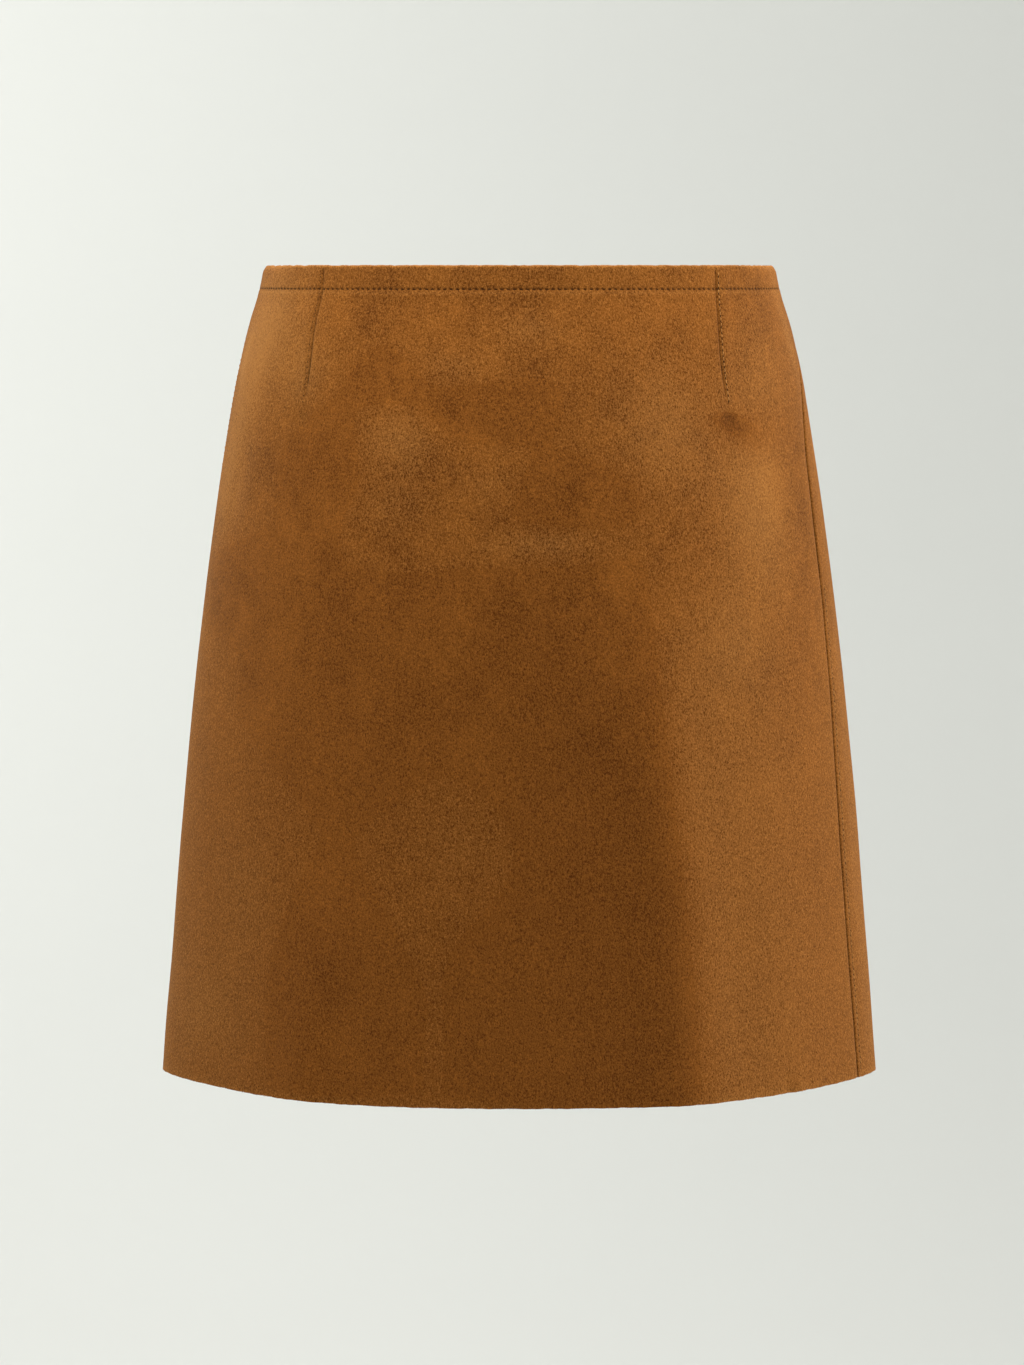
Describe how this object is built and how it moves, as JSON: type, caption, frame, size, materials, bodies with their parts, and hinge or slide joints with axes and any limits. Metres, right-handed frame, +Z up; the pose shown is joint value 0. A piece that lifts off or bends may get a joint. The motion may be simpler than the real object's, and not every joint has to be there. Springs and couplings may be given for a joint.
{
  "type": "a-line skirt",
  "caption": "Short A-line suede skirt in its worn, hollow form, with waist darts, a topstitched turned-in waist edge, a raw hem and a concealed side zip.",
  "frame": {"origin": "middle of the waist opening, level with the waist's top edge", "axes": "+Z up out of the waist, -Y the front, +X the wearer's left side"},
  "size_m": [0.3852, 0.274, 0.4335],
  "materials": {
    "suede": "napped tan-brown suede, matt, with soft marks where the nap is brushed",
    "suede_inside": "flesh side of the suede, coarser and a little lighter",
    "zip_tape": "woven brown polyester",
    "zip_metal": "brown lacquer over metal, satin",
    "thread": "brown polyester sewing thread"
  },
  "bodies": {
    "skirt": {"front_panel": "suede", "back_panel": "suede", "front_waist_turning": "suede_inside", "back_waist_turning": "suede_inside", "front_dart_right": "suede_inside", "front_dart_left": "suede_inside", "back_dart_right": "suede_inside", "back_dart_left": "suede_inside", "left_seam_allowance_back": "suede_inside", "left_seam_allowance_front": "suede_inside", "right_seam_allowance_back": "suede_inside", "right_seam_allowance_front": "suede_inside", "zip_allowance_front": "suede_inside", "zip_allowance_back": "suede_inside", "zip_tape_front": "zip_tape", "zip_tape_back": "zip_tape", "zip_coil": "zip_tape", "zip_bottom_stop": "zip_metal", "zip_slider": "zip_metal"},
    "pull": {"zip_pull": "zip_metal"}
  },
  "joints": [
    {"name": "pull_hinge", "type": "hinge", "parent": "skirt", "child": "pull", "pos_m": [0.13674, 0.02015, -0.0101], "axis": [0.2559, -0.924, 0.284], "range_deg": [0, 170]}
  ]
}
